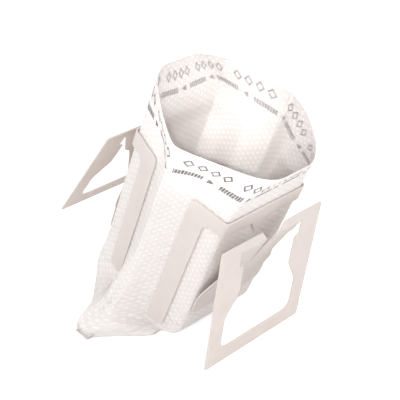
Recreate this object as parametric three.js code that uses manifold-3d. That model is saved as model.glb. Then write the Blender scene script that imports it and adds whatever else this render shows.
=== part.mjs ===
// Drip coffee bag: an empty nonwoven filter pouch, opened at the mouth, with two die-cut card
// pieces on each face: a frame that keeps the mouth open and an ear that is pulled out to hang it.
// The bag leans forward and stands on its folded bottom and on the lower edge of the front ear.
// Millimetres, +Z up, floor at Z = 0, X along the bag's width, the front face towards -Y.
import * as THREE from "three";
import { mergeVertices } from "three/addons/utils/BufferGeometryUtils.js";
import Module from "manifold-3d";

const wasm = await Module();
wasm.setup();

// Pouch, as it is cut and folded
const pouchWidth = 74;
const fabric = 0.3;
const sealWidth = 6;
const sealY = -4; // where the flat seal strip starts on the floor
const rimRise = 17.5; // from the top edge of the frames up to the rim
const frontRimOut = 23.6;
const rearRimOut = 25.2;
const rimQuarter = 18.6; // across, halfway between the crease and the front or rear of the rim
const creaseDip = 2.2; // how far the rim dips at its side creases
const rimHalfFlat = 9.5; // half of the flatter stretch at the front and rear of the rim
const rimHalfWidth = 24;
const rimDip = 0.9; // how far the front and rear of the rim sit below its two sides
const flareRise = 6; // above the top edge of the frames, where the mouth starts to flare
const flareReach = 4.5;
const flareShare = 0.2; // of the way from the rim to the seal
const turnShare = 0.7;
const crispReach = 1.8; // how far from a turn of the fabric its rounding starts
const softReach = 3.5;
const wideReach = 8;

// How the opened bag stands
const lean = THREE.MathUtils.degToRad(21.3);
const frameTop = 62; // along the bag, above the point where its axis meets the floor
const halfDepth = 19.5; // from the axis to the front or rear face
const rearDrawIn = 0.01; // the rear face nears the axis by this share of the way down
const kneeHeight = 30; // below this the side creases spread to the seal
const ankleSpread = 29.5; // where the side creases' lines turn down to the seal's ends
const ankleY = -3;
const ankleHeight = 9;
const rearKneeHeight = 5.4;
const rearToeHeight = 7.2;
const sealLegInset = 8; // along the seal, from its end to where the leg edges' lines meet it
const frontToeHeight = 3.9; // below this the pouch spreads from the front legs' outer edges
const footSpread = 25; // where the front legs' lines meet the floor
const footFrontY = -15;
const heelSpread = 29.5; // where the rear legs' lines turn under
const heelY = 6;
const heelHeight = 6.5;

// Card
const card = 0.4;
const sheetSpan = 400; // larger than any card
const cutDepth = 4; // deeper than any card is thick
const weld = 1e-3; // points closer than this are one point
const clearance = 0.3;
const bendRadius = 1.2;
const barHalfFlat = 15.3; // from the middle of the bar to its bend
const barHeight = 5.5;
const sideTurn = THREE.MathUtils.degToRad(80);
const legOuter = 12; // from the bend to the outer edge of the leg
const legWidth = 6;
const legPlay = 1; // from the outer edge of a leg on to the line where the pouch's side turns
const frontLegEnd = 6.9; // height of the leg's end along the bag
const rearLegEnd = 9.6;
const shoulderRadius = 2.4;
const windowRadius = 2.6;
const tongueHalfWidth = 4;
const tongueDepth = 6.6;
const tongueTipRadius = 0.6;
const toeRoundness = 0.45; // radius at a leg's end as a share of its width

// Ear
const earHalfWidth = 20.3;
const earHeight = 45;
const earBottomBar = 5.8;
const earCornerRadius = 0.8;
const hingeDepth = 3; // from the ear's top edge down to where its panel is hinged
const panelTopHalf = 12.4;
const panelNeckHalf = 10.6;
const panelFootHalf = 14.9;
const neckTop = 8.2;
const neckStep = 0.8;
const stepRadius = 0.5;
const neckRadius = 3;
const spreadRadius = 6;
const neckEnd = 19.2;
const panelFootTop = 27;
const panelCorner = 3.4;
const panelLanding = 27; // height along the bag at which the panel meets the face
const hingePlay = 0.3;
const hingeRadius = 0.6;
const cutWidth = 0.35; // kerf between the panel and the hook that it is cut from
const notchHalfWidth = 4.6;
const notchShoulder = 3.6;
const notchSlitHalf = 2;
const notchDepth = 21;
const frontEarDrop = 4.4; // from the frame's top edge down to the ear's top edge
const frontEarOut = 5.3; // from the face out to the ear's top edge
const rearEarDrop = 6.6;
const rearEarOut = 5.7;
const floorPlay = 0.05; // left under the front ear's lower edge
const rearEarTilt = THREE.MathUtils.degToRad(15.3);

// Half of the stretch of fabric over which corners are rounded
const bodyAverage = 1.3;
const rimAverage = 7; // added to it at the rim
const rimCreaseAverage = 1.8; // the same, at the rim's side creases
const rimAverageShare = 0.28; // of the way to the seal, over which that fades
const creaseHold = 12; // from a side crease, over which the fabric keeps to the crease
const averagingSteps = 6;

// Rows of the pouch's mesh
const flaredRows = 6;
const straightRows = 6;
const foldedRows = 16;
const rowMargin = 0.06; // share of the way by which the close rows reach past each turn

const fabricColour = 0xf6f2ee;
const cardColour = 0xefe8e0;
const arcSteps = 6;

// A point given across the bag, out from its axis and up along its axis, in the part's frame
function leaned(across, out, up) {
  const y = -out * Math.cos(lean) - up * Math.sin(lean);
  const z = -out * Math.sin(lean) + up * Math.cos(lean);
  return new THREE.Vector3(across, y, z);
}

// How far up the bag's axis a line at a given distance out from it meets the floor
const floorHeight = (out) => out * Math.tan(lean);

// A path through points, each inner one rounded by a quadratic curve that starts this far from it
function roundedPath(points, reach) {
  const path = new THREE.CurvePath();
  let from = points[0];
  for (let i = 1; i < points.length - 1; i++) {
    const back = points[i - 1].clone().sub(points[i]);
    const on = points[i + 1].clone().sub(points[i]);
    const cut = Math.min(reach[i - 1], back.length() / 2.2, on.length() / 2.2);
    const start = points[i].clone().addScaledVector(back.normalize(), cut);
    const end = points[i].clone().addScaledVector(on.normalize(), cut);
    path.add(new THREE.LineCurve3(from, start));
    path.add(new THREE.QuadraticBezierCurve3(start, points[i], end));
    from = end;
  }
  path.add(new THREE.LineCurve3(from, points[points.length - 1]));
  path.arcLengthDivisions = 400;
  return path;
}

// The section of the bag beside its cards, one quarter, as distances across and out:
// bend of the bar, outer edge of the leg, side crease
const sidePanel = pouchWidth / 2 - barHalfFlat;
const sideRun = legOuter + legPlay;
const legEdge = [
  barHalfFlat + sideRun * Math.cos(sideTurn),
  halfDepth - sideRun * Math.sin(sideTurn),
];
const creaseReach = Math.sqrt((sidePanel - sideRun) ** 2 - legEdge[1] ** 2);
const creaseAcross = legEdge[0] + creaseReach;
const rimHeight = frameTop + rimRise;
const creaseRimHeight = rimHeight - creaseDip;
const rearOut = (out, up) => -(out - rearDrawIn * (frameTop - up));
const flareStart = frameTop + flareRise;

// Lines that run from the rim to the seal at the near side, each a list of points and of how far
// before and after each inner point its bend reaches; the far side mirrors them
const onFloor = (across, y, z = 0) => new THREE.Vector3(across, y, z);
const legFoot = pouchWidth / 2 - sealLegInset;
const frontBend = [
  leaned(rimHalfFlat, frontRimOut, rimHeight - rimDip),
  leaned(barHalfFlat, halfDepth, flareStart),
  leaned(barHalfFlat, halfDepth, floorHeight(halfDepth)),
  onFloor(barHalfFlat, sealY),
];
const frontLegEdge = [
  leaned(rimQuarter, frontRimOut / 2, rimHeight - rimDip / 2),
  leaned(legEdge[0], legEdge[1], flareStart),
  leaned(legEdge[0], legEdge[1], frontToeHeight),
  onFloor(footSpread, footFrontY),
  onFloor(legFoot, sealY),
];
const sideCrease = [
  leaned(rimHalfWidth, 0, creaseRimHeight),
  leaned(creaseAcross, 0, flareStart),
  leaned(creaseAcross, 0, kneeHeight),
  onFloor(ankleSpread, ankleY, ankleHeight),
  onFloor(pouchWidth / 2, sealY, 1.5 * fabric),
];
const rearLegEdge = [
  leaned(rimQuarter, -rearRimOut / 2, rimHeight - rimDip / 2),
  leaned(legEdge[0], rearOut(legEdge[1], flareStart), flareStart),
  leaned(legEdge[0], rearOut(legEdge[1], rearToeHeight), rearToeHeight),
  onFloor(heelSpread, heelY, heelHeight),
  onFloor(legFoot, sealY, 3 * fabric),
];
const rearBend = [
  leaned(rimHalfFlat, -rearRimOut, rimHeight - rimDip),
  leaned(barHalfFlat, rearOut(halfDepth, flareStart), flareStart),
  leaned(barHalfFlat, rearOut(halfDepth, rearKneeHeight), rearKneeHeight),
  onFloor(barHalfFlat, sealY, 3 * fabric),
];
const edgeLines = [
  { path: roundedPath(frontBend, [flareReach, softReach]), turn: 1 },
  { path: roundedPath(frontLegEdge, [flareReach, crispReach, softReach]), turn: 1 },
  { path: roundedPath(sideCrease, [flareReach, wideReach, softReach]), turn: 2 },
  { path: roundedPath(rearLegEdge, [flareReach, softReach, softReach]), turn: 1 },
  { path: roundedPath(rearBend, [flareReach, crispReach]), turn: 1 },
];

// The share of a path's length that lies before the middle of the bend at an inner point
function shareAt(path, inner) {
  const lengths = path.getCurveLengths();
  return (lengths[2 * inner] + lengths[2 * inner + 1]) / 2 / path.getLength();
}

// The point of an edge line at a share of the way to the seal. Every line passes the start of the
// flare, and the turn at which it leaves the standing part of the bag, at the same shares.
function onLine({ path, turn }, share) {
  const own = [0, shareAt(path, 0), shareAt(path, turn), 1];
  const i = share < flareShare ? 0 : share < turnShare ? 1 : 2;
  const common = [0, flareShare, turnShare, 1];
  const part = (share - common[i]) / (common[i + 1] - common[i]);
  return path.getPointAt(own[i] + part * (own[i + 1] - own[i]));
}

// Where those lines lie on the flat pouch, measured around it from the middle of the front face
const aroundStations = [
  barHalfFlat,
  barHalfFlat + sideRun,
  pouchWidth / 2,
  pouchWidth - barHalfFlat - sideRun,
  pouchWidth - barHalfFlat,
];

// One row of the pouch: the corner points of its section at a share of the way to the seal
function sectionCorners(share) {
  const near = edgeLines.map((line) => onLine(line, share));
  const far = near.map((p) => new THREE.Vector3(-p.x, p.y, p.z)).reverse();
  const stations = aroundStations.concat(
    aroundStations.map((s) => 2 * pouchWidth - s).reverse(),
  );
  return { points: near.concat(far), stations };
}

// The point of a row at a distance around it, on the straight panels between the corners
function onPanels(row, around) {
  const total = 2 * pouchWidth;
  const count = row.points.length;
  const s = ((around % total) + total) % total;
  let i = row.stations.findIndex((station) => station > s);
  if (i < 0) i = count;
  const before = (i + count - 1) % count;
  const after = i % count;
  const start = i === 0 ? row.stations[before] - total : row.stations[before];
  const end = i === count ? row.stations[0] + total : row.stations[after];
  const share = (s - start) / (end - start);
  return row.points[before].clone().lerp(row.points[after], share);
}

// Corners are rounded by averaging a row over a stretch around each point. The stretch is long at
// the rim, which makes the mouth an oval, and short beside the cards and at the side creases.
function onRow(row, around, share) {
  const nearRim = Math.max(0, 1 - share / rimAverageShare) ** 2;
  const fromCrease = Math.min(
    Math.abs(around - pouchWidth / 2),
    Math.abs(around - 1.5 * pouchWidth),
  );
  const away = Math.min(1, fromCrease / creaseHold);
  const atRim = THREE.MathUtils.lerp(rimCreaseAverage, rimAverage, away);
  const half = bodyAverage + nearRim * atRim;
  const sum = new THREE.Vector3();
  for (let k = -averagingSteps; k <= averagingSteps; k++) {
    sum.add(onPanels(row, around + (half * k) / averagingSteps));
  }
  return sum.multiplyScalar(1 / (2 * averagingSteps + 1));
}

// Distances around the pouch at which the mesh has columns: those of the front face from one side
// crease to the other, then the same ones again over the rear face
function columnStations() {
  const bend = aroundStations[0];
  const edge = aroundStations[1];
  const side = pouchWidth / 2;
  const third = sideRun / 3;
  const half = [0, bend / 3, (2 * bend) / 3, bend - bodyAverage, bend, bend + bodyAverage];
  half.push(bend + third, bend + 2 * third, edge - bodyAverage, edge, edge + bodyAverage);
  half.push((edge + side) / 2, side - bodyAverage);
  const front = [-side, ...half.slice(1).reverse().map((s) => -s), ...half, side];
  const rear = front.slice(1, -1).map((s) => pouchWidth - s).reverse();
  return front.concat(rear);
}

// Shares of the way from rim to seal at which the mesh has rows
function rowShares() {
  const spread = (from, to, count) =>
    Array.from({ length: count }, (_, i) => from + ((to - from) * i) / count);
  const flared = spread(0, flareShare + rowMargin, flaredRows);
  const straight = spread(flareShare + rowMargin, turnShare - rowMargin, straightRows);
  return [...flared, ...straight, ...spread(turnShare - rowMargin, 1, foldedRows), 1];
}

// The pouch: an outer skin and an inner one a fabric's thickness inside it, joined at the rim.
// The outer skin runs on over the flat seal strip and closes at its end.
function filterPouch() {
  const columns = columnStations();
  const shares = rowShares();
  const outer = shares.map((share) => {
    const row = sectionCorners(share);
    return columns.map((around) => onRow(row, around, share));
  });
  const inner = outer.map((row, r) =>
    row.map((point, c) => {
      const left = row[(c + columns.length - 1) % columns.length];
      const right = row[(c + 1) % columns.length];
      const above = outer[Math.max(r - 1, 0)][c];
      const below = outer[Math.min(r + 1, outer.length - 1)][c];
      const around = right.clone().sub(left);
      const down = below.clone().sub(above);
      const inward = around.cross(down).normalize();
      const inside = point.clone().addScaledVector(inward, fabric);
      inside.z = Math.max(inside.z, fabric);
      return inside;
    }),
  );
  const strip = [0.4, 1].map((share) =>
    outer[outer.length - 1].map((p) => {
      const z = p.z > 1.5 * fabric ? 2 * fabric : p.z;
      return new THREE.Vector3(p.x, p.y + share * sealWidth, z);
    }),
  );
  return skinOf([...inner.slice(0, -1).reverse(), ...outer, ...strip]);
}

// A closed surface through rows of points, whose first and last rows are closed by pairing the
// points of their front half with those of their rear half
function skinOf(rows) {
  const count = rows[0].length;
  const positions = rows.flat().flatMap((p) => [p.x, p.y, p.z]);
  const index = [];
  const last = (rows.length - 1) * count;
  for (let r = 0; r < last; r += count) {
    for (let c = 0; c < count; c++) {
      const next = (c + 1) % count;
      index.push(r + c, r + count + c, r + next);
      index.push(r + next, r + count + c, r + count + next);
    }
  }
  for (let c = 0; c < count / 2; c++) {
    const [front, ahead, rear, behind] = [c, c + 1, (count - c) % count, count - c - 1];
    if (c > 0) index.push(front, ahead, rear, last + front, last + rear, last + ahead);
    if (ahead < behind) {
      index.push(ahead, behind, rear, last + ahead, last + rear, last + behind);
    }
  }
  const geometry = new THREE.BufferGeometry();
  geometry.setAttribute("position", new THREE.Float32BufferAttribute(positions, 3));
  geometry.setIndex(index);
  return geometry;
}

function solidOf(geometry) {
  const bare = geometry.index ? geometry.clone() : mergeVertices(geometry);
  bare.deleteAttribute("normal");
  bare.deleteAttribute("uv");
  const merged = mergeVertices(bare, weld / 10);
  return new wasm.Manifold(
    new wasm.Mesh({
      numProp: 3,
      vertProperties: merged.attributes.position.array,
      triVerts: new Uint32Array(merged.index.array),
    }),
  );
}

function geometryOf(solid) {
  const mesh = solid.getMesh();
  const geometry = new THREE.BufferGeometry();
  geometry.setAttribute("position", new THREE.Float32BufferAttribute(mesh.vertProperties, 3));
  geometry.setIndex(new THREE.BufferAttribute(mesh.triVerts, 1));
  return geometry;
}

// A polyline in a plane whose corners are creases with a small radius. Its stations are where a
// sheet bent along it needs an edge, and at() gives the point and the outward normal at a length.
function creasedLine(points, radius) {
  const pieces = [];
  const stations = [0];
  let length = 0;
  let start = points[0];
  let heading = points[1].clone().sub(points[0]).normalize();
  const addPiece = (extent, at) => {
    pieces.push({ from: length, to: length + extent, at });
    length += extent;
    stations.push(length);
  };
  const straight = (from, along) => (run) => ({
    point: from.clone().addScaledVector(along, run),
    normal: new THREE.Vector2(-along.y, along.x),
  });
  for (let i = 1; i < points.length - 1; i++) {
    const onward = points[i + 1].clone().sub(points[i]).normalize();
    const turn = Math.atan2(heading.cross(onward), heading.dot(onward));
    const tangent = radius * Math.tan(Math.abs(turn) / 2);
    const enter = points[i].clone().addScaledVector(heading, -tangent);
    addPiece(enter.distanceTo(start), straight(start, heading));
    const side = Math.sign(turn);
    const inward = new THREE.Vector2(-heading.y, heading.x).multiplyScalar(side);
    const centre = enter.clone().addScaledVector(inward, radius);
    const arcLength = Math.abs(turn) * radius;
    for (let k = 0; k < arcSteps; k++) {
      const before = (arcLength * k) / arcSteps;
      addPiece(arcLength / arcSteps, (run) => {
        const angle = (side * (before + run)) / radius;
        const normal = inward.clone().multiplyScalar(side).rotateAround(new THREE.Vector2(), angle);
        return { point: centre.clone().addScaledVector(normal, -side * radius), normal };
      });
    }
    start = points[i].clone().addScaledVector(onward, tangent);
    heading = onward;
  }
  addPiece(points[points.length - 1].distanceTo(start), straight(start, heading));
  const at = (s) => {
    const piece = pieces.find((candidate) => s <= candidate.to + 1e-9) ?? pieces[pieces.length - 1];
    return piece.at(s - piece.from);
  };
  return { length, stations, at };
}

// A flat piece of card with an outline, lying in its own plane, its middle layer at zero
function plate(shape) {
  const settings = { depth: card, bevelEnabled: false, curveSegments: arcSteps };
  return solidOf(new THREE.ExtrudeGeometry(shape, settings).translate(0, 0, -card / 2));
}

// A flat solid bent along creases: it is cut into strips at stations along one axis, each body of
// a strip is moved by a map of its points, and the strips are joined again at their shared edges
function bent(flat, axis, stations, map) {
  const creases = stations.slice(1, -1);
  const corners = [];
  for (let i = 0; i + 1 < stations.length; i++) {
    const size = new THREE.Vector3(sheetSpan, sheetSpan, cutDepth);
    const middle = new THREE.Vector3();
    size[axis] = stations[i + 1] - stations[i];
    middle[axis] = (stations[i + 1] + stations[i]) / 2;
    const box = new THREE.BoxGeometry(size.x, size.y, size.z);
    const strip = flat.intersect(solidOf(box.translate(middle.x, middle.y, middle.z)));
    for (const body of strip.decompose()) {
      const soup = geometryOf(body).toNonIndexed().attributes.position;
      const points = [];
      for (let v = 0; v < soup.count; v++) {
        points.push(new THREE.Vector3().fromBufferAttribute(soup, v));
      }
      for (let t = 0; t < points.length; t += 3) {
        const face = points.slice(t, t + 3);
        const onCrease = creases.some((c) => face.every((p) => Math.abs(p[axis] - c) < weld));
        if (!onCrease) corners.push(...face.map((p) => map(p, body)));
      }
    }
  }
  const geometry = new THREE.BufferGeometry().setFromPoints(corners);
  return mergeVertices(geometry, weld);
}

// Faces of the bag: a point of a card given across, out from the axis and up along it. The rear
// face is the front one turned half round, drawn in a little towards the bottom.
const faces = {
  front: (across, out, up) => leaned(across, out, up),
  rear: (across, out, up) => leaned(-across, -out + rearDrawIn * (frameTop - up), up),
};

// A closed outline from points, with the corners named in a map of index to radius rounded
function roundedShape(points, radii) {
  const shape = new THREE.Shape();
  points.forEach(([x, y], i) => {
    const radius = radii[i] ?? 0;
    const corner = new THREE.Vector2(x, y);
    const [bx, by] = points[(i + points.length - 1) % points.length];
    const [nx, ny] = points[(i + 1) % points.length];
    const back = new THREE.Vector2(bx, by).sub(corner).normalize();
    const on = new THREE.Vector2(nx, ny).sub(corner).normalize();
    const reach = radius / Math.tan(Math.acos(back.dot(on)) / 2);
    const enter = corner.clone().addScaledVector(back, reach);
    const leave = corner.clone().addScaledVector(on, reach);
    if (i === 0) shape.moveTo(enter.x, enter.y);
    else shape.lineTo(enter.x, enter.y);
    if (radius > 0) shape.quadraticCurveTo(corner.x, corner.y, leave.x, leave.y);
  });
  shape.closePath();
  return shape;
}

// The line that a frame's card follows across a face: the bar, then both bends and side panels
function frameLine() {
  const offset = clearance + card / 2;
  const corner = new THREE.Vector2(
    barHalfFlat + offset * Math.tan(sideTurn / 2),
    halfDepth + offset,
  );
  const side = new THREE.Vector2(Math.cos(sideTurn), -Math.sin(sideTurn));
  const end = corner.clone().addScaledVector(side, legOuter + offset * Math.tan(sideTurn / 2));
  const mirrored = (p) => new THREE.Vector2(-p.x, p.y);
  return creasedLine([mirrored(end), mirrored(corner), corner, end], bendRadius);
}

// A frame: a bar with a tongue at its middle and a leg down each side, cut from one card
function cardFrame(place, legEnd) {
  const line = frameLine();
  const half = line.length / 2;
  const legInner = half - legWidth;
  const barFoot = frameTop - barHeight;
  const outline = [
    [-half, frameTop],
    [-half, legEnd],
    [-legInner, legEnd],
    [-legInner, barFoot],
    [-tongueHalfWidth, barFoot],
    [0, barFoot - tongueDepth],
    [tongueHalfWidth, barFoot],
    [legInner, barFoot],
    [legInner, legEnd],
    [half, legEnd],
    [half, frameTop],
  ];
  const toe = legWidth * toeRoundness;
  const near = { 0: shoulderRadius, 1: toe, 2: toe, 3: windowRadius };
  const far = { 7: windowRadius, 8: toe, 9: toe, 10: shoulderRadius };
  const radii = { ...near, 5: tongueTipRadius, ...far };
  const flat = plate(roundedShape(outline, radii));
  const stations = line.stations.map((s) => s - half);
  return bent(flat, "x", stations, (p) => {
    const { point, normal } = line.at(p.x + half);
    return place(point.x + normal.x * p.z, point.y + normal.y * p.z, p.y);
  });
}

// The front ear hangs out at the angle at which its lower edge stands on the floor
const earTopHeight = leaned(0, halfDepth + frontEarOut, frameTop - frontEarDrop).z;
const frontEarTilt = lean - Math.acos((earTopHeight - floorPlay) / earHeight);

// The outline of the panel that is cut out of an ear, narrower at its neck, grown by a margin.
// Depths run down from the ear's top edge and are negative in the outline.
function panelOutline(margin) {
  const foot = earHeight - earBottomBar - cutWidth + margin;
  const top = panelTopHalf - cutWidth + margin;
  const neck = panelNeckHalf - cutWidth + margin;
  const wide = panelFootHalf - cutWidth + margin;
  const halfOutline = [
    [top, -hingeDepth + (margin > 0 ? 0 : cutWidth)],
    [top, -neckTop],
    [neck, -neckTop - neckStep],
    [neck, -neckEnd],
    [wide, -panelFootTop],
    [wide, -foot],
  ];
  const mirrored = halfOutline.map(([x, y]) => [-x, y]).reverse();
  const halfRadii = [0, stepRadius, stepRadius, neckRadius, spreadRadius, panelCorner];
  const radii = halfRadii.concat(halfRadii.slice().reverse());
  return roundedShape([...halfOutline, ...mirrored], radii);
}

// The notch in an ear's top edge, which takes the frame's tongue and runs on as a narrow slit
function notchOutline() {
  return roundedShape(
    [
      [-notchHalfWidth, 1],
      [-notchHalfWidth, 0],
      [-notchSlitHalf, -notchShoulder],
      [0, -notchDepth],
      [notchSlitHalf, -notchShoulder],
      [notchHalfWidth, 0],
      [notchHalfWidth, 1],
    ],
    {},
  );
}

function thick(shape) {
  const settings = { depth: cutDepth, bevelEnabled: false, curveSegments: arcSteps };
  return solidOf(new THREE.ExtrudeGeometry(shape, settings).translate(0, 0, -cutDepth / 2));
}

// An ear, cut from one card: a hook that hangs outwards, and inside it a panel that is hinged at
// the hook's top strip and glued at its foot to the bag's face
function cardEar(place, tilt, out, drop) {
  const hookOutline = [
    [-earHalfWidth, 0],
    [-earHalfWidth, -earHeight],
    [earHalfWidth, -earHeight],
    [earHalfWidth, 0],
  ];
  const radii = hookOutline.map(() => earCornerRadius);
  const panel = plate(panelOutline(0));
  const flat = plate(roundedShape(hookOutline, radii))
    .subtract(thick(panelOutline(cutWidth)))
    .add(panel)
    .subtract(thick(notchOutline()));
  const hang = new THREE.Vector2(Math.sin(tilt), -Math.cos(tilt));
  const top = new THREE.Vector2(halfDepth + out, frameTop - drop);
  const along = (depth) => top.clone().addScaledVector(hang, depth);
  const panelLimit = (earHalfWidth + panelFootHalf) / 2;
  const face = halfDepth + clearance + card / 2;
  const landing = new THREE.Vector2(face, panelLanding);
  const foot = new THREE.Vector2(face, panelLanding - earHeight);
  const panelPath = [top, along(hingeDepth + hingePlay), landing, foot];
  const panelLine = creasedLine(panelPath, hingeRadius);
  const creases = panelLine.stations.filter((s) => s > 0 && s < earHeight);
  const stations = [-earHeight, ...creases.map((s) => -s).reverse(), 0];
  return bent(flat, "y", stations, (p, body) => {
    const { min, max } = body.boundingBox();
    const isPanel = min[0] > -panelLimit && max[0] < panelLimit;
    const { point, normal } = isPanel
      ? panelLine.at(-p.y)
      : { point: along(-p.y), normal: new THREE.Vector2(-hang.y, hang.x) };
    return place(p.x, point.x + normal.x * p.z, point.y + normal.y * p.z);
  });
}

const fabricMaterial = new THREE.MeshStandardMaterial({
  color: fabricColour,
  roughness: 0.92,
  metalness: 0,
});

const cardMaterial = new THREE.MeshStandardMaterial({
  color: cardColour,
  roughness: 0.78,
  metalness: 0,
});

const bag = new THREE.Group();

function addPiece(name, geometry, material) {
  geometry.computeVertexNormals();
  const mesh = new THREE.Mesh(geometry, material);
  mesh.name = name;
  bag.add(mesh);
}

addPiece("filter_pouch", filterPouch(), fabricMaterial);
addPiece("front_card_frame", cardFrame(faces.front, frontLegEnd), cardMaterial);
addPiece("rear_card_frame", cardFrame(faces.rear, rearLegEnd), cardMaterial);
const frontEar = cardEar(faces.front, frontEarTilt, frontEarOut, frontEarDrop);
const rearEar = cardEar(faces.rear, rearEarTilt, rearEarOut, rearEarDrop);
addPiece("front_ear_hanger", frontEar, cardMaterial);
addPiece("rear_ear_hanger", rearEar, cardMaterial);

// The origin is at the middle of the bag's footprint, on the floor
const box = new THREE.Box3().setFromObject(bag);
bag.position.set(-(box.min.x + box.max.x) / 2, -(box.min.y + box.max.y) / 2, -box.min.z);

export default bag;
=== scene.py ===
import bpy
import numpy as np
from math import cos, pi, radians, sin, tan
from mathutils import Matrix, Vector


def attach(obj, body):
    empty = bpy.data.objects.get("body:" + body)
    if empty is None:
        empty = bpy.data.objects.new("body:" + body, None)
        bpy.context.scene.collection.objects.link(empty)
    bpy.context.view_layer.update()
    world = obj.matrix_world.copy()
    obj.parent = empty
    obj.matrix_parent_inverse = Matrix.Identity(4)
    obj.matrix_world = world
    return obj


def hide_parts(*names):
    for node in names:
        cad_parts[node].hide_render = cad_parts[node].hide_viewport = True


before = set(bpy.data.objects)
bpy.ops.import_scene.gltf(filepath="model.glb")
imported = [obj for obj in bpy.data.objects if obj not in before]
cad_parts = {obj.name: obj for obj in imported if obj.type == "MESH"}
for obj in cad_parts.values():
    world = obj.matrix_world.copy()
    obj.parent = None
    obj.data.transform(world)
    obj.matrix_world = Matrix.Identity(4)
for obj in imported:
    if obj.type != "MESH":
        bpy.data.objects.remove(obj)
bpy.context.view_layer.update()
mm = 0.001
uvUnit = 100.0    # millimetres of cloth in one unit of its UV map

# The sizes in millimetres that the solid pouch was drawn with, so that the cloth fits the cards
bag = {
    "width": 74.0,           # of the flat pouch
    "fabric": 0.28,          # thickness of the nonwoven
    "sealWidth": 6.0,
    "sealY": -4.0,           # where the folded bottom meets the seal strip
    "shiftY": 10.33,         # from the drawing's origin to the middle of the footprint
    "lean": radians(21.3),
    "frameTop": 62.0,        # height of the cards' top edge along the leaning axis
    "halfDepth": 19.5,
    "rearDrawIn": 0.01,      # how much the rear face closes in on the axis for each millimetre down
    "barHalf": 15.3,         # half of the flat stretch behind a card's bar
    "sideRun": 13.0,         # from that stretch's end to the outer edge of the leg
    "sideTurn": radians(80),
    "rimRise": 17.5,
    "rimHalfWidth": 24.0,
    "rimHalfFlat": 9.5,
    "rimQuarter": 18.6,
    "frontRimOut": 23.6,
    "rearRimOut": 25.2,
    "rimDip": 0.9,
    "creaseDip": 2.2,        # how far the rim drops at the side creases
    "flareRise": 6.0,        # where the mouth starts to open out, above the cards
    "flareReach": 4.5,
    "flareShare": 0.2,       # shares of the way down at which every line starts to flare and turns
    "turnShare": 0.7,
}

photoView = {
    "place": (-165.26, -174.60, 185.32),   # millimetres
    "yaw": radians(44.07),
    "pitch": radians(-31.49),
    "roll": radians(0.96),
    "lens": 83.54,
    "sensor": 36,
    "clip": (0.01, 10),
}


# The camera looks along (sin yaw cos pitch, cos yaw cos pitch, sin pitch) and is then rolled
def makeCamera(view):
    yaw, pitch, roll = view["yaw"], view["pitch"], view["roll"]
    ahead = np.array([sin(yaw) * cos(pitch), cos(yaw) * cos(pitch), sin(pitch)])
    right = np.array([cos(yaw), -sin(yaw), 0.0])
    up = np.cross(right, ahead)
    rolledRight = right * cos(roll) + up * sin(roll)
    rolledUp = up * cos(roll) - right * sin(roll)
    data = bpy.data.cameras.new("photoCamera")
    data.lens = view["lens"]
    data.sensor_width = view["sensor"]
    data.clip_start, data.clip_end = view["clip"]
    camera = bpy.data.objects.new("photoCamera", data)
    turned = Matrix(np.column_stack([rolledRight, rolledUp, -ahead]).tolist()).to_4x4()
    turned.translation = [value * mm for value in view["place"]]
    camera.matrix_world = turned
    bpy.context.scene.collection.objects.link(camera)
    bpy.context.scene.camera = camera


makeCamera(photoView)
print("camera ready")


# Adds a node, sets its properties, and links or sets its inputs
def addNode(tree, kind, settings=None, inputs=None):
    node = tree.nodes.new(kind)
    for name, value in (settings or {}).items():
        setattr(node, name, value)
    for name, value in (inputs or {}).items():
        socket = node.inputs[name]
        if isinstance(value, bpy.types.NodeSocket):
            tree.links.new(value, socket)
        else:
            socket.default_value = value
    return node


# One Math node. Below are the sum, the difference and the product of two values, and a value
# without its sign.
def calc(tree, operation, first, second=0.0):
    return addNode(tree, "ShaderNodeMath", {"operation": operation}, {0: first, 1: second}).outputs[0]


def plus(tree, first, second):
    return calc(tree, "ADD", first, second)


def minus(tree, first, second):
    return calc(tree, "SUBTRACT", first, second)


def times(tree, first, second):
    return calc(tree, "MULTIPLY", first, second)


def size(tree, value):
    return calc(tree, "ABSOLUTE", value)


# Rises smoothly from 0 to 1 as a value goes from low to high
def smoothStep(tree, value, low, high):
    settings = {"interpolation_type": "SMOOTHSTEP"}
    inputs = {"Value": value, "From Min": low, "From Max": high}
    return addNode(tree, "ShaderNodeMapRange", settings, inputs).outputs[0]


# The cosine of a value that comes back after twice the given half period
def ripple(tree, value, halfPeriod):
    return calc(tree, "COSINE", times(tree, value, pi / halfPeriod))


# The first colour where the share is 0, the second where it is 1
def mixColours(tree, share, first, second):
    node = addNode(tree, "ShaderNodeMix", {"data_type": "RGBA"})
    tree.links.new(share, node.inputs[0])
    for socket, value in ((node.inputs[6], first), (node.inputs[7], second)):
        if isinstance(value, bpy.types.NodeSocket):
            tree.links.new(value, socket)
        else:
            socket.default_value = (*value, 1.0)
    return node.outputs[2]


# Fractal noise at a place, mostly between 0.3 and 0.7
def noise(tree, place, scale, detail, roughness, distortion=0.0):
    inputs = {
        "Vector": place, "Scale": scale, "Detail": detail, "Roughness": roughness, "Distortion": distortion,
    }
    return addNode(tree, "ShaderNodeTexNoise", None, inputs).outputs[0]


# Tilts the surface by the slope of a height, on top of another bump where one is given
def addBump(tree, height, strength, distance, under=None):
    inputs = {"Strength": strength, "Distance": distance, "Height": height}
    if under is not None:
        inputs["Normal"] = under
    return addNode(tree, "ShaderNodeBump", None, inputs).outputs[0]


# The first shader where the share is 0, the second where it is 1
def mixShaders(tree, share, first, second):
    return addNode(tree, "ShaderNodeMixShader", None, {0: share, 1: first, 2: second}).outputs[0]


# A material with nothing in its node tree yet
def newMaterial(name):
    material = bpy.data.materials.new(name)
    material.use_nodes = True
    tree = material.node_tree
    tree.nodes.clear()
    return material, tree


# Joins the shader to the material's output
def finishMaterial(tree, shader):
    addNode(tree, "ShaderNodeOutputMaterial", None, {"Surface": shader})


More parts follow.
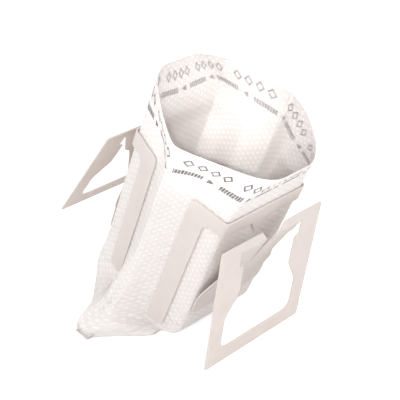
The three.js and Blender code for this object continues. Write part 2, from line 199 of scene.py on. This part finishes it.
# Lengths are in millimetres along the cloth. A noise is scale, detail, roughness, distortion, and
# an edge is the pair of values between which something fades in.
nonwoven = {
    "colour": (0.965, 0.93, 0.92),
    "groundColour": (0.85, 0.805, 0.785),   # between the raised dots, darker as painted shade of the relief; also the tint of the light that comes through there
    "glow": (0.985, 0.965, 0.95),           # light that comes through the cloth
    "through": 0.2,                         # share of the light that does
    "thinness": 0.5,                        # how much of the outer skin shows through the inner one
    "roughness": 0.88,
    "specular": 0.25,
    "sheen": 0.12,
    "sheenRoughness": 0.5,
    "dotAcross": 148 / 108,                 # half of the spacing of the embossed dots
    "dotDown": 1.12,
    "dotEdge": (0.1, 0.75),
    "knurlHalf": 0.45,                      # half of the pitch of the seal's knurling
    "knurlEdge": (0.1, 0.7),
    "sealFill": 0.6,                        # how far the painted shade between the seal's ridges is lifted towards the full colour
    "fibres": (1.9, 7.0, 0.62, 0.9),
    "fibreEdge": (0.45, 0.7),
    "fibreTint": 0.35,
    "paler": 1.05,                          # the brighter fibres, as a multiple of the colour, and the colour of the painted crease highlight
    "threads": {"Scale": 0.9, "Distortion": 14.0, "Detail": 3.0, "Detail Scale": 1.4},
    "clouds": (0.16, 3.0, 0.5),
    "cloudEdge": (0.35, 0.65),
    "cloudTint": 0.25,
    "thinTint": 0.5,                        # how much darker the light is between the dots
    "folds": (0.085, 2.0, 0.45, 0.8),
    "foldWidth": 0.12,
    "foldAbove": 0.25,                      # depth of the soft folds in the upper part
    "lowerEdge": (45.0, 70.0),              # distances from the rim between which they deepen
    "foldStrength": 0.35,
    "foldDistance": 0.0011,                 # metres
    "creaseAt": 37.0,                       # the pressed side creases, half a width from the middle, where a painted highlight line runs
    "creaseHalf": 0.35,
    "creaseHighlightShare": 0.5,
    "fibreHeight": 0.55,                    # against 1 for a dot
    "threadHeight": 0.2,
    "strength": 0.55,
    "distance": 0.00025,                    # metres
}

# Generic marks printed below the rim, in millimetres, and how strongly each side shows them
printed = {
    "ink": (0.13, 0.12, 0.12),
    "outside": 1.0,
    "inside": 0.35,
    "broken": (0.25, 0.5),      # fibres between these values leave gaps in the ink
    "blur": 0.05,               # half of the width of an edge
    "markRow": 4.2,             # from the rim down to the row of lozenges
    "markPeriod": 14.8,         # from one group of four to the next
    "markSpacing": 3.1,
    "markHalfWide": 1.3,
    "markHalfTall": 1.75,
    "markLine": 0.42,           # width of the outline, as a share of the lozenge
    "markStart": 1.6,
    "dashRow": 8.9,
    "dashPeriod": 148 / 12,
    "dashLength": 7.4,
    "dashHalfTall": 0.85,
    "dashStart": 5.5,
    "strokePeriod": 0.8,
    "strokeHalf": 0.31,
    "triangleHalf": 1.0,
    "triangleSlope": 0.5,
}


# How far a value is from the middle of its period, in [-period / 2, period / 2]
def wrapped(tree, value, start, period):
    shifted = plus(tree, value, period / 2 - start)
    return minus(tree, calc(tree, "FLOORED_MODULO", shifted, period), period / 2)


# One where a value is below a limit, with an edge about 0.1 mm wide
def below(tree, value, limit):
    blur = printed["blur"]
    return minus(tree, 1.0, smoothStep(tree, value, limit - blur, limit + blur))


# The printed rows. Groups of four outlined lozenges, whose distance is |across| / wide + |down| /
# tall, and below them a row of fine upright strokes in runs, with a triangle after each run.
def inkMask(tree, across, down):
    p = printed
    group = wrapped(tree, across, p["markStart"], p["markPeriod"])
    mark = wrapped(tree, group, p["markSpacing"] / 2, p["markSpacing"])
    fromRow = minus(tree, down, p["markRow"])
    wide = calc(tree, "DIVIDE", size(tree, mark), p["markHalfWide"])
    tall = calc(tree, "DIVIDE", size(tree, fromRow), p["markHalfTall"])
    ring = size(tree, minus(tree, plus(tree, wide, tall), 1.0 - p["markLine"] / 2))
    outline = below(tree, ring, p["markLine"] / 2)
    marks = times(tree, outline, below(tree, size(tree, group), 2 * p["markSpacing"]))

    run = wrapped(tree, across, p["dashStart"], p["dashPeriod"])
    inRun = below(tree, size(tree, run), p["dashLength"] / 2)
    fromDashes = size(tree, minus(tree, down, p["dashRow"]))
    inBand = below(tree, fromDashes, p["dashHalfTall"])
    stroke = size(tree, wrapped(tree, across, 0.0, p["strokePeriod"]))
    dashes = times(tree, times(tree, inRun, inBand), below(tree, stroke, p["strokeHalf"]))

    tip = wrapped(tree, across, p["dashStart"] + p["dashPeriod"] / 2, p["dashPeriod"])
    slope = plus(tree, fromDashes, times(tree, tip, p["triangleSlope"]))
    inSlope = below(tree, slope, p["triangleHalf"] / 2)
    inFoot = below(tree, times(tree, tip, -1.0), p["triangleHalf"])
    triangles = times(tree, inSlope, inFoot)
    return calc(tree, "MINIMUM", plus(tree, plus(tree, marks, dashes), triangles), 1.0)


# Nonwoven: a mat of fine fibres with raised dots, which are the peaks of the product of two
# cosines, a knurled seal, painted shade on the ground between the dots and ridges, a painted
# highlight line along the side creases and soft folds that deepen downwards.
# Part of the light passes through, and the inner skin lets part of the outer one show.
def nonwovenMaterial(name, inkStrength, inner):
    p = nonwoven
    material, tree = newMaterial(name)
    place = addNode(tree, "ShaderNodeUVMap", {"uv_map": "cloth"}).outputs[0]
    along = addNode(
        tree, "ShaderNodeVectorMath", {"operation": "SCALE"}, {0: place, "Scale": uvUnit},
    ).outputs[0]
    parts = addNode(tree, "ShaderNodeSeparateXYZ", None, {0: along})
    across, down = parts.outputs[0], parts.outputs[1]
    seal = addNode(tree, "ShaderNodeAttribute", {"attribute_name": "sealBand"}).outputs["Fac"]

    lattice = times(tree, ripple(tree, across, p["dotAcross"]), ripple(tree, down, p["dotDown"]))
    dots = smoothStep(tree, lattice, *p["dotEdge"])
    ridge = ripple(tree, plus(tree, across, down), p["knurlHalf"])
    otherRidge = ripple(tree, minus(tree, across, down), p["knurlHalf"])
    knurl = smoothStep(tree, times(tree, ridge, otherRidge), *p["knurlEdge"])
    raised = addNode(tree, "ShaderNodeMix", None, {0: seal, 2: dots, 3: knurl}).outputs[0]

    fibres = noise(tree, along, *p["fibres"])
    clouds = noise(tree, along, *p["clouds"])
    threads = addNode(
        tree, "ShaderNodeTexWave", {"wave_type": "BANDS", "bands_direction": "DIAGONAL"},
        {"Vector": along, **p["threads"]},
    ).outputs["Fac"]

    # Painted shade of the relief: the raised dots and the seal's ridges keep the full colour, and the
    # ground between them is darker.
    unshadedShare = calc(tree, "MAXIMUM", raised, times(tree, seal, p["sealFill"]))
    reliefShaded = mixColours(tree, unshadedShare, p["groundColour"], p["colour"])
    paler = tuple(min(1.0, value * p["paler"]) for value in p["colour"])
    bright = times(tree, smoothStep(tree, fibres, *p["fibreEdge"]), p["fibreTint"])
    mottled = mixColours(tree, bright, reliefShaded, paler)
    ink = times(tree, inkMask(tree, across, down), inkStrength)
    broken = times(tree, ink, smoothStep(tree, fibres, *printed["broken"]))
    marked = mixColours(tree, broken, mottled, printed["ink"])

    lower = smoothStep(tree, down, *p["lowerEdge"])
    # A painted highlight line along each side crease, which fades out lower down; the same line also raises
    # the bump.
    fromCrease = size(tree, wrapped(tree, across, p["creaseAt"], p["creaseAt"] * 2))
    creaseLine = below(tree, fromCrease, p["creaseHalf"])
    highlightFading = minus(tree, p["creaseHighlightShare"], times(tree, lower, p["creaseHighlightShare"]))
    creaseHighlight = times(tree, times(tree, creaseLine, highlightFading), minus(tree, 1.0, broken))
    colour = mixColours(tree, creaseHighlight, marked, paler)

    valley = size(tree, minus(tree, noise(tree, along, *p["folds"]), 0.5))
    crumple = smoothStep(tree, valley, 0.0, p["foldWidth"])
    depth = plus(tree, p["foldAbove"], times(tree, lower, 1 - p["foldAbove"]))
    gathers = addBump(tree, times(tree, crumple, depth), p["foldStrength"], p["foldDistance"])
    mat = plus(tree, times(tree, fibres, p["fibreHeight"]), times(tree, threads, p["threadHeight"]))
    height = plus(tree, mat, plus(tree, raised, creaseLine))
    bump = addBump(tree, height, p["strength"], p["distance"], gathers)

    solid = addNode(
        tree, "ShaderNodeBsdfPrincipled", None,
        {"Base Color": colour, "Roughness": p["roughness"], "Specular IOR Level": p["specular"],
         "Sheen Weight": p["sheen"], "Sheen Roughness": p["sheenRoughness"], "Normal": bump},
    ).outputs[0]
    glowing = mixColours(tree, broken, p["glow"], printed["ink"])
    thin = times(tree, minus(tree, 1.0, raised), p["thinTint"])
    cloudy = times(tree, smoothStep(tree, clouds, *p["cloudEdge"]), p["cloudTint"])
    uneven = mixColours(tree, calc(tree, "MAXIMUM", thin, cloudy), glowing, p["groundColour"])
    through = addNode(tree, "ShaderNodeBsdfTranslucent", None, {"Color": uneven, "Normal": bump}).outputs[0]
    cloth = mixShaders(tree, p["through"], solid, through)
    if inner:
        clear = addNode(tree, "ShaderNodeBsdfTransparent").outputs[0]
        cloth = mixShaders(tree, p["thinness"], cloth, clear)
    finishMaterial(tree, cloth)
    return material


# A noise is scale, detail, roughness, distortion, on the object's own coordinates in metres
card = {
    "colour": (0.755, 0.695, 0.675),
    "pale": (0.785, 0.725, 0.705),
    "dark": (0.70, 0.635, 0.61),
    "roughness": 0.72,
    "specular": 0.35,
    "glow": (0.93, 0.83, 0.70),      # light that comes through the card
    "through": 0.22,
    "fibres": (2600.0, 6.0, 0.65, 1.2),
    "fibreEdge": (0.5, 0.75),
    "fibreTint": 0.35,
    "clouds": (140.0, 4.0, 0.55),
    "cloudEdge": (0.3, 0.7),
    "cloudHeight": 1.5,
    "speckScale": 620.0,
    "speckEdge": (0.05, 0.14),
    "speckTint": 0.3,
    "strength": 0.3,
    "distance": 0.00012,             # metres
}


# Uncoated card: short fibres lying all ways, a faint cloudiness, flecks and a slightly uneven face
def cardMaterial():
    p = card
    material, tree = newMaterial("dieCutCard")
    place = addNode(tree, "ShaderNodeTexCoord").outputs["Object"]
    fibres = noise(tree, place, *p["fibres"])
    clouds = noise(tree, place, *p["clouds"])
    specks = addNode(
        tree, "ShaderNodeTexVoronoi", {"feature": "F1"},
        {"Vector": place, "Scale": p["speckScale"], "Randomness": 1.0},
    ).outputs["Distance"]
    body = mixColours(tree, smoothStep(tree, clouds, *p["cloudEdge"]), p["colour"], p["pale"])
    darker = times(tree, smoothStep(tree, fibres, *p["fibreEdge"]), p["fibreTint"])
    fibred = mixColours(tree, darker, body, p["dark"])
    fleck = times(tree, minus(tree, 1.0, smoothStep(tree, specks, *p["speckEdge"])), p["speckTint"])
    colour = mixColours(tree, fleck, fibred, p["dark"])
    height = plus(tree, fibres, times(tree, clouds, p["cloudHeight"]))
    bump = addBump(tree, height, p["strength"], p["distance"])
    solid = addNode(
        tree, "ShaderNodeBsdfPrincipled", None,
        {"Base Color": colour, "Roughness": p["roughness"], "Specular IOR Level": p["specular"],
         "Normal": bump},
    ).outputs[0]
    through = addNode(
        tree, "ShaderNodeBsdfTranslucent", None, {"Color": (*p["glow"], 1.0), "Normal": bump},
    ).outputs[0]
    finishMaterial(tree, mixShaders(tree, p["through"], solid, through))
    return material


clothOutside = nonwovenMaterial("nonwovenOutside", printed["outside"], False)
clothInside = nonwovenMaterial("nonwovenInside", printed["inside"], True)
cardFinish = cardMaterial()
print("materials ready")

for name in ("front_card_frame", "rear_card_frame", "front_ear_hanger", "rear_ear_hanger"):
    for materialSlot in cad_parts[name].material_slots:
        materialSlot.material = cardFinish
print("card pieces finished")


# Points are across, back and up in millimetres, for one side; the other side is its mirror image
pouch = {
    "columns": 216,            # four for each pair of embossed dots
    "rows": (32, 82, 50),      # in the flare, in the standing part, in the folded bottom
    "stripRows": 8,
    "emboss": 0.05,            # how far the dots stand out
    "gather": 0.3,             # how deep the wrinkles of the side panels are
    "gatherHalf": 6.5,         # half of the free width between the card legs
    "gatherFade": (25.0, 12.0),    # they fade over these lengths at the rim and at the seal
    "gatherWaves": (           # waves for each millimetre across and down, and where they start
        (0.021, 0.045, 0.4), (0.052, -0.028, 2.1), (0.036, 0.071, 4.4), (0.083, 0.019, 5.2),
    ),
    "bodyAverage": 1.3,        # how softly the corners turn, millimetres of cloth
    "creaseShare": 0.3,        # of that at the side creases
    "footFrom": 0.48,          # between these shares of the way down the side crease opens out
    "footTo": 0.87,
    "footAverage": 7.0,
    "rimAverage": 7.0,
    "rimCreaseAverage": 1.8,
    "rimAverageShare": 0.28,
    "creaseHold": 12.0,        # how far from a side crease its sharpness is felt
    "averageSteps": 17,
    "averageFade": 0.35,       # how much less the ends of the averaged stretch count
    "pathSteps": 25,           # points on each straight and each bend of an edge line
    "bendLimit": 2.2,          # a bend uses at most its neighbour's length divided by this
    "kneeHeight": 31.0,
    "ankle": (34.6, -1.0, 7.4),
    "overhang": (37.5, 2.6, 3.0),
    "frontToe": 3.9,
    "foot": (19.6, -17.4, 0.0),
    "rearToe": 8.0,
    "heel": (28.0, 2.6, 9.0),
    "heelFloor": (33.8, 3.2, 1.5),
    "rearStraight": 16.0,
    "rearKnee": (17.2, 15.4, 12.6),
    "rearUnder": (24.8, 8.2, 5.4),
    "rearFloor": (29.6, 3.4, 1.6),
    "sealFront": (20.0, 34.4),     # where the front's bend and leg edge reach the seal
    "sealRear": (31.0, 35.2),
    "creaseLift": 1.5,         # heights at the seal, in thicknesses of the cloth
    "rearLift": 3.0,
    "stripLift": 2.1,
    "crisp": 1.8,              # how far a bend reaches
    "soft": 3.5,
    "wide": 8.0,
}


# A point across the bag, out from its axis and up along it: a turn by the lean about X
def leaned(across, out, up):
    lean = bag["lean"]
    return [across, -out * cos(lean) - up * sin(lean), -out * sin(lean) + up * cos(lean)]


# A path through points whose inner ones are rounded by a quadratic curve: dense points on it,
# the share of its length before each, and that share at the middle of each bend
def roundedPath(points, reach):
    points = np.array(points, float)
    steps = pouch["pathSteps"]
    share = np.linspace(0, 1, steps)[:, None]
    line, bends, start = [], [], points[0]
    for before, corner, after, limit in zip(points, points[1:], points[2:], reach):
        back, onward = before - corner, after - corner
        backLength, onwardLength = np.linalg.norm(back), np.linalg.norm(onward)
        cut = min(limit, backLength / pouch["bendLimit"], onwardLength / pouch["bendLimit"])
        enter = corner + back / backLength * cut
        leave = corner + onward / onwardLength * cut
        line.append(start + (enter - start) * share)
        line.append(enter * (1 - share) ** 2 + 2 * corner * share * (1 - share) + leave * share ** 2)
        bends.append(len(line) * steps - (steps + 1) // 2)
        start = leave
    line.append(start + (points[-1] - start) * share)
    dense = np.vstack(line)
    length = np.concatenate([[0.0], np.cumsum(np.linalg.norm(np.diff(dense, axis=0), axis=1))])
    return dense, length / length[-1], [length[i] / length[-1] for i in bends]


# Points of an edge line at shares of the way from rim to seal. Every line passes the start of the
# flare, and the turn at which it leaves the standing part, at the same shares.
def alongLine(points, reach, turn, shares):
    dense, length, bends = roundedPath(points, reach)
    own = np.interp(shares, [0, bag["flareShare"], bag["turnShare"], 1], [0, bends[0], bends[turn], 1])
    return np.column_stack([np.interp(own, length, dense[:, i]) for i in range(3)])


# The five lines that run down the near side of the pouch, at the given shares. The side crease
# stands out as far as its cloth reaches, by the rule of Pythagoras.
def edgeLines(shares):
    b, p = bag, pouch
    rimHeight = b["frameTop"] + b["rimRise"]
    flare = b["frameTop"] + b["flareRise"]
    across = b["barHalf"] + b["sideRun"] * cos(b["sideTurn"])
    out = b["halfDepth"] - b["sideRun"] * sin(b["sideTurn"])
    creaseAcross = across + ((b["width"] / 2 - b["barHalf"] - b["sideRun"]) ** 2 - out ** 2) ** 0.5
    thick = b["fabric"]
    frontSeal, rearSeal = p["sealFront"], p["sealRear"]

    # A distance behind the axis, less what the rear face has closed in by at that height
    def rearOut(distance, up):
        return -(distance - b["rearDrawIn"] * (b["frameTop"] - up))

    frontBend = [
        leaned(b["rimHalfFlat"], b["frontRimOut"], rimHeight - b["rimDip"]),
        leaned(b["barHalf"], b["halfDepth"], flare),
        leaned(b["barHalf"], b["halfDepth"], b["halfDepth"] * tan(b["lean"])),
        [frontSeal[0], b["sealY"], 0.0],
    ]
    frontLegEdge = [
        leaned(b["rimQuarter"], b["frontRimOut"] / 2, rimHeight - b["rimDip"] / 2),
        leaned(across, out, flare),
        leaned(across, out, p["frontToe"]),
        p["foot"],
        [frontSeal[1], b["sealY"], 0.0],
    ]
    sideCrease = [
        leaned(b["rimHalfWidth"], 0, rimHeight - b["creaseDip"]),
        leaned(creaseAcross, 0, flare),
        leaned(creaseAcross, 0, p["kneeHeight"]),
        p["ankle"],
        p["overhang"],
        [b["width"] / 2, b["sealY"], p["creaseLift"] * thick],
    ]
    rearLegEdge = [
        leaned(b["rimQuarter"], -b["rearRimOut"] / 2, rimHeight - b["rimDip"] / 2),
        leaned(across, rearOut(out, flare), flare),
        leaned(across, rearOut(out, p["rearToe"]), p["rearToe"]),
        p["heel"],
        p["heelFloor"],
        [rearSeal[1], b["sealY"], p["rearLift"] * thick],
    ]
    rearBend = [
        leaned(b["rimHalfFlat"], -b["rearRimOut"], rimHeight - b["rimDip"]),
        leaned(b["barHalf"], rearOut(b["halfDepth"], flare), flare),
        leaned(b["barHalf"], rearOut(b["halfDepth"], p["rearStraight"]), p["rearStraight"]),
        p["rearKnee"],
        p["rearUnder"],
        p["rearFloor"],
        [rearSeal[0], b["sealY"], p["rearLift"] * thick],
    ]
    reach, crisp, soft, wide = b["flareReach"], p["crisp"], p["soft"], p["wide"]
    return np.array([
        alongLine(frontBend, [reach, soft], 1, shares),
        alongLine(frontLegEdge, [reach, crisp, soft], 1, shares),
        alongLine(sideCrease, [reach, wide, soft, crisp], 2, shares),
        alongLine(rearLegEdge, [reach, soft, soft, soft], 1, shares),
        alongLine(rearBend, [reach, soft, crisp, soft, crisp], 2, shares),
    ])


# The cloth over a grid of shares down and distances around. Between neighbouring edge lines it is
# straight, and each point is the weighted mean of its row over a stretch around it, which turns
# the corners softly: widely at the rim and the foot, tightly beside the cards and at the creases.
def clothSurface(shares, around):
    b, p = bag, pouch
    near = edgeLines(shares).transpose(1, 0, 2)
    far = near[:, ::-1] * np.array([-1.0, 1.0, 1.0])
    corners = np.concatenate([near, far, near[:, :1]], axis=1)
    half = np.array([
        b["barHalf"], b["barHalf"] + b["sideRun"], b["width"] / 2,
        b["width"] - b["barHalf"] - b["sideRun"], b["width"] - b["barHalf"],
    ])
    total = 2 * b["width"]
    stations = np.concatenate([half, total - half[::-1], half[:1] + total])

    nearRim = np.maximum(0, 1 - shares / p["rimAverageShare"])[:, None] ** 2
    turned = np.mod(around, total)
    fromCrease = np.minimum(np.abs(turned - b["width"] / 2), np.abs(turned - 1.5 * b["width"]))
    away = np.minimum(1, fromCrease / p["creaseHold"])[None, :]
    atRim = p["rimCreaseAverage"] + (p["rimAverage"] - p["rimCreaseAverage"]) * away
    inFoot = np.clip((shares - p["footFrom"]) / (p["footTo"] - p["footFrom"]), 0, 1)[:, None]
    atFoot = p["footAverage"] * np.sin(pi * inFoot) * (1 - away)
    onBody = p["bodyAverage"] * (p["creaseShare"] + (1 - p["creaseShare"]) * away)
    reach = onBody + nearRim * atRim + atFoot

    rows = np.arange(len(shares))[:, None]
    mean = np.zeros((len(shares), len(around), 3))
    weights = 0.0
    for step in np.linspace(-1, 1, p["averageSteps"]):
        s = np.mod(around[None, :] + reach * step - stations[0], total) + stations[0]
        i = np.clip(np.searchsorted(stations, s, side="right") - 1, 0, len(stations) - 2)
        part = ((s - stations[i]) / (stations[i + 1] - stations[i]))[..., None]
        weight = 1.0 - p["averageFade"] * step * step
        mean += weight * (corners[rows, i] * (1 - part) + corners[rows, i + 1] * part)
        weights += weight
    return mean / weights


# How far down the cloth each point of a grid lies: the sum of the steps above it
def lengthDown(points):
    step = np.linalg.norm(np.diff(points, axis=0), axis=2)
    return np.concatenate([np.zeros((1, points.shape[1])), np.cumsum(step, axis=0)])


# Moves the cloth along its own normals by the product of two cosines, which gives the dots, and
# beside the side creases also by a mean of slanted waves, which gives the wrinkles
def embossed(cloth, around):
    p = pouch
    down = lengthDown(cloth)
    alongRow = np.roll(cloth, -1, axis=1) - np.roll(cloth, 1, axis=1)
    normal = np.cross(np.gradient(cloth, axis=0), alongRow)
    normal /= np.linalg.norm(normal, axis=2, keepdims=True)
    dots = np.cos(pi * around / nonwoven["dotAcross"]) * np.cos(pi * down / nonwoven["dotDown"])
    waves = sum(np.sin(2 * pi * (x * around + y * down) + turn) for x, y, turn in p["gatherWaves"])
    fromCrease = np.abs(np.mod(around, bag["width"]) - bag["width"] / 2)
    beside = np.clip(1 - fromCrease / p["gatherHalf"], 0, 1) ** 0.5
    atRim, atSeal = p["gatherFade"]
    lasting = np.clip(np.minimum(down / atRim, (down[-1] - down) / atSeal), 0, 1)
    height = p["emboss"] * dots + p["gather"] * beside * lasting * waves / len(p["gatherWaves"])
    return cloth + height[..., None] * normal


# The seal strip: the cloth's last row, repeated straight back, with its upper layer laid level
def sealStrip(lastRow):
    b, p = bag, pouch
    share = (np.arange(p["stripRows"]) + 1) / p["stripRows"]
    strip = np.repeat(lastRow, p["stripRows"], axis=0)
    strip[..., 1] += share[:, None] * b["sealWidth"]
    upper = strip[..., 2] > p["creaseLift"] * b["fabric"]
    strip[..., 2] = np.where(upper, p["stripLift"] * b["fabric"], strip[..., 2])
    return strip


# Makes a mesh object from a grid of points that closes on itself in its second direction. Each
# face joins a point, the one below it and the next two round.
def gridObject(name, points, uv):
    rows, columns = points.shape[:2]
    index = np.arange(rows * columns).reshape(rows, columns)
    onward = np.roll(index, -1, axis=1)
    faces = np.stack([index[:-1], index[1:], onward[1:], onward[:-1]], axis=-1).reshape(-1, 4)
    mesh = bpy.data.meshes.new(name)
    mesh.from_pydata(points.reshape(-1, 3) * mm, [], faces.tolist())
    corner = np.stack([uv[:-1, :-1], uv[1:, :-1], uv[1:, 1:], uv[:-1, 1:]], axis=2).reshape(-1, 2)
    layer = mesh.uv_layers.new(name="cloth")
    layer.data.foreach_set("uv", corner.astype(np.float32).ravel() / uvUnit)
    mesh.polygons.foreach_set("use_smooth", np.ones(len(faces), bool))
    mesh.update()
    made = bpy.data.objects.new(name, mesh)
    bpy.context.scene.collection.objects.link(made)
    return made


# The whole pouch from rim to the end of its seal strip, with its distances around and down as UV
def buildPouch():
    b, p = bag, pouch
    flare, turn = b["flareShare"], b["turnShare"]
    inFlare, standing, folded = p["rows"]
    shares = np.concatenate([
        np.linspace(0, flare, inFlare, endpoint=False),
        np.linspace(flare, turn, standing, endpoint=False),
        np.linspace(turn, 1, folded),
    ])
    total = 2 * b["width"]
    around = b["width"] / 2 + total * np.arange(p["columns"]) / p["columns"]
    cloth = embossed(clothSurface(shares, around), around)
    points = np.concatenate([cloth, sealStrip(cloth[-1:])])
    points[..., 1] += b["shiftY"]

    down = lengthDown(points)
    down = np.concatenate([down, down[:, :1]], axis=1)
    across = np.append(around, around[0] + total)
    uv = np.stack([np.broadcast_to(across, down.shape), down], axis=-1)
    made = gridObject("nonwoven_pouch", points, uv)

    band = np.zeros(points.shape[:2], np.float32)
    band[-p["stripRows"] - 1:] = 1
    sealBand = made.data.attributes.new("sealBand", "FLOAT", "POINT")
    sealBand.data.foreach_set("value", band.ravel())
    made.data.materials.append(clothOutside)
    made.data.materials.append(clothInside)
    thickness = made.modifiers.new("thickness", "SOLIDIFY")
    thickness.thickness = b["fabric"] * mm
    thickness.offset = -1
    thickness.material_offset = 1    # the inner skin takes the second material
    return made


nonwovenPouch = buildPouch()
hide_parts("filter_pouch")
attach(nonwovenPouch, "root")
print("pouch ready")

studio = {
    "floorColour": (0.93, 0.93, 0.93),
    "floorRoughness": 0.6,
    "floorGlow": 0.3,         # seen by the camera only, so that the floor looks white
    "floorHalf": 3.0,
    "floorDrop": 0.0001,
    "skyStrength": 0.95,
    "aim": (0.0, 0.0, 0.04),
    "lamps": (                # name, watts, width, place
        ("softKey", 1.45, 0.45, (-0.32, -0.43, 0.46)),
        ("lowFill", 0.8, 0.50, (-0.62, -0.05, 0.20)),
        ("rightFill", 0.4, 0.50, (0.34, -0.52, 0.22)),
    ),
    "mouthPower": 12.5,       # a narrow lamp whose beam is about as wide as the pouch's mouth
    "mouthBeam": radians(4.4),
    "mouthBlend": 0.6,
    "mouthSize": 0.013,
    "mouthPlace": (-0.303, -0.310, 0.289),
    "mouthAim": (0.0145, -0.002, 0.0605),
}


# One for the rays that come from the camera or a glossy surface, otherwise 0
def seenDirectly(tree):
    rays = addNode(tree, "ShaderNodeLightPath")
    return calc(tree, "MAXIMUM", rays.outputs["Is Camera Ray"], rays.outputs["Is Glossy Ray"])


# A matt square just under the bag, with a glow that only the camera sees
def makeFloor():
    half, level = studio["floorHalf"], -studio["floorDrop"]
    mesh = bpy.data.meshes.new("studioFloor")
    corners = [(-half, -half, level), (half, -half, level), (half, half, level), (-half, half, level)]
    mesh.from_pydata(corners, [], [(0, 1, 2, 3)])
    floor = bpy.data.objects.new("studioFloor", mesh)
    bpy.context.scene.collection.objects.link(floor)
    material, tree = newMaterial("paleFloor")
    colour = (*studio["floorColour"], 1.0)
    matt = addNode(
        tree, "ShaderNodeBsdfDiffuse", None, {"Color": colour, "Roughness": studio["floorRoughness"]},
    ).outputs[0]
    strength = times(tree, seenDirectly(tree), studio["floorGlow"])
    glow = addNode(tree, "ShaderNodeEmission", None, {"Strength": strength}).outputs[0]
    finishMaterial(tree, addNode(tree, "ShaderNodeAddShader", None, {0: matt, 1: glow}).outputs[0])
    mesh.materials.append(material)


# An even white sky, at full strength where it is seen directly
def makeSky():
    world = bpy.data.worlds.new("studioSky")
    bpy.context.scene.world = world
    world.use_nodes = True
    tree = world.node_tree
    tree.nodes.clear()
    extra = times(tree, seenDirectly(tree), 1.0 - studio["skyStrength"])
    strength = plus(tree, extra, studio["skyStrength"])
    light = addNode(tree, "ShaderNodeBackground", None, {"Color": (1, 1, 1, 1), "Strength": strength})
    addNode(tree, "ShaderNodeOutputWorld", None, {"Surface": light.outputs[0]})


# Adds a lamp at a place, turned towards a point
def addLamp(name, kind, power, place, aim):
    data = bpy.data.lights.new(name, kind)
    data.energy = power
    lamp = bpy.data.objects.new(name, data)
    lamp.location = place
    lamp.rotation_euler = (Vector(aim) - Vector(place)).to_track_quat("-Z", "Y").to_euler()
    bpy.context.scene.collection.objects.link(lamp)
    return data


# Broad soft lamps turned to the middle of the bag, and a narrow one turned into its mouth
def makeLamps():
    s = studio
    for name, power, width, place in s["lamps"]:
        addLamp(name, "AREA", power, place, s["aim"]).size = width
    mouth = addLamp("mouthFromFront", "SPOT", s["mouthPower"], s["mouthPlace"], s["mouthAim"])
    mouth.spot_size = s["mouthBeam"]
    mouth.spot_blend = s["mouthBlend"]
    mouth.shadow_soft_size = s["mouthSize"]


makeFloor()
makeSky()
makeLamps()
bpy.context.scene.view_settings.view_transform = "Standard"
print("floor and light ready")
